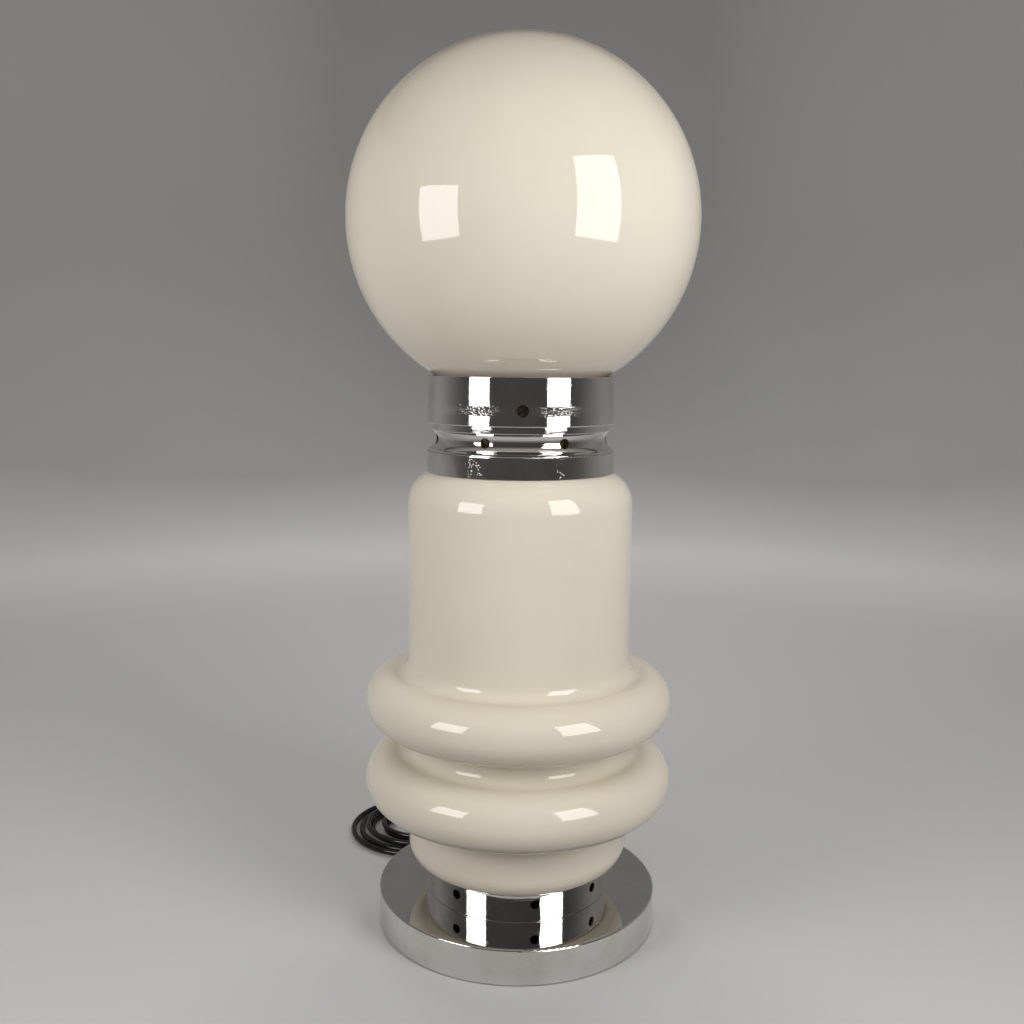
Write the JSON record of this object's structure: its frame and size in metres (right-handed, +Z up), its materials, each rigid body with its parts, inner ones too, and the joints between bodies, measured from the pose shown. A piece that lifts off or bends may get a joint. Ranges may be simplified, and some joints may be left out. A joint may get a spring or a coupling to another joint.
{
  "type": "table lamp",
  "caption": "Table lamp with an opal glass globe over a ringed opal glass body, on vented chromed metalwork and a round chromed base, with a black flex, switch and plug.",
  "frame": {"origin": "centre of the base's underside, on the table", "axes": "+Z up along the lamp's axis, -Y to the front with the screw hole, +X to the right seen from the front"},
  "size_m": [0.2762, 0.341, 0.6443],
  "materials": {
    "opal_glass": "polished opal glass, cream white",
    "chromed_metal": "polished, with fine scratches and pits",
    "dark_steel": "blackened",
    "felt": "black felt",
    "plated_steel": "yellow zinc plating",
    "cast_iron": "as cast",
    "clear_rubber": "translucent, matt",
    "porcelain": "white glaze",
    "lamp_cap_metal": "satin",
    "lamp_glass": "frosted",
    "wire_insulation": "satin",
    "flex_sheath": "black, slightly glossy",
    "black_rubber": "matt",
    "black_plastic": "moulded, slightly glossy",
    "pin_metal": "nickel plated"
  },
  "bodies": {
    "lamp": {"body_glass": "opal_glass", "globe_cup": "chromed_metal", "waist_ring": "chromed_metal", "body_cap": "chromed_metal", "foot_cup": "chromed_metal", "base_cover": "chromed_metal", "globe_screws": "dark_steel", "bottom_screws": "dark_steel", "base_felt": "felt", "bottom_plate": "plated_steel", "lamp_bracket": "plated_steel", "tie_rod": "plated_steel", "rod_nuts": "plated_steel", "rod_washers": "plated_steel", "candle_nuts": "plated_steel", "base_weight": "cast_iron", "body_seal_lower": "clear_rubber", "body_seal_upper": "clear_rubber", "globe_seal": "clear_rubber", "globe_lampholder": "porcelain", "candle_holder_left": "porcelain", "candle_holder_right": "porcelain", "globe_lamp_cap": "lamp_cap_metal", "candle_cap_left": "lamp_cap_metal", "candle_cap_right": "lamp_cap_metal", "globe_lamp_glass": "lamp_glass", "candle_glass_left": "lamp_glass", "candle_glass_right": "lamp_glass", "supply_wires": "wire_insulation", "candle_wires": "wire_insulation", "cord_lead": "flex_sheath", "cord_link": "flex_sheath", "cord_coil": "flex_sheath", "cord_tail": "flex_sheath", "strain_relief": "black_rubber", "switch_lower": "black_plastic", "switch_upper": "black_plastic", "plug_body": "black_plastic", "plug_pins": "pin_metal"},
    "globe": {"globe_glass": "opal_glass"},
    "rocker": {"switch_rocker": "black_plastic"}
  },
  "joints": [
    {"name": "globe_lift", "type": "slide", "parent": "lamp", "child": "globe", "axis": [0, 0, 1], "range_m": [0, 0.135]},
    {"name": "switch_tilt", "type": "hinge", "parent": "lamp", "child": "rocker", "pos_m": [0, 0.20305, 0.0135], "axis": [0, 1, 0], "range_deg": [0, 16]}
  ]
}
